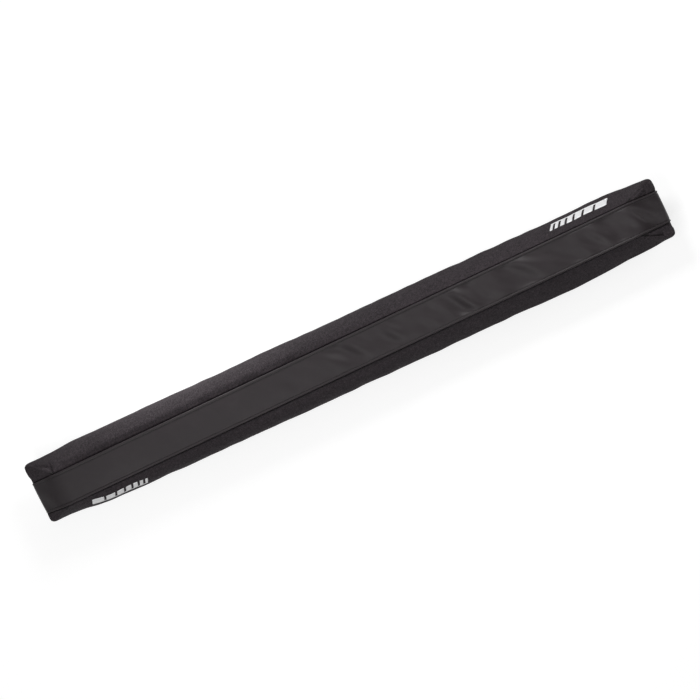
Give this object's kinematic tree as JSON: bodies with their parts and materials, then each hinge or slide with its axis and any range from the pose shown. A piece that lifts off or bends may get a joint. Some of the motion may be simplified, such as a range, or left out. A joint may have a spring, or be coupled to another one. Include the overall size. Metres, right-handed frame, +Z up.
{
  "type": "roof rack pad",
  "caption": "Long padded sleeve with bevelled ends, a smooth coated top and woven sides, whose flaps wrap under a roof bar and close with hook and loop.",
  "frame": {"origin": "on the ground plane under the middle of the pad, at the bottom of the outer flap", "axes": "+X along the pad towards its right end, +Y towards its rear side panel, +Z up towards the coated top"},
  "size_m": [0.7602, 0.078, 0.057],
  "materials": {
    "foam": "closed cell foam",
    "base_fabric": "coarse woven",
    "woven_fabric": "coarse woven, matt",
    "coated_fabric": "smooth coated, low sheen",
    "hook_tape": "moulded hooks",
    "loop_tape": "brushed loops",
    "thread": "twisted thread",
    "reflective_film": "printed reflective film"
  },
  "bodies": {
    "root": {"foam_core": "foam", "base_panel": "base_fabric", "side_panel_front": "woven_fabric", "side_panel_rear": "woven_fabric", "top_panel": "coated_fabric", "flap_front": "woven_fabric", "flap_rear": "woven_fabric", "hook_tape": "hook_tape", "loop_tape": "loop_tape", "topstitch_front": "thread", "topstitch_rear": "thread", "bartack_front_left": "thread", "bartack_front_right": "thread", "bartack_rear_left": "thread", "bartack_rear_right": "thread", "reflective_mark_front": "reflective_film", "reflective_mark_rear": "reflective_film"}
  },
  "joints": []
}
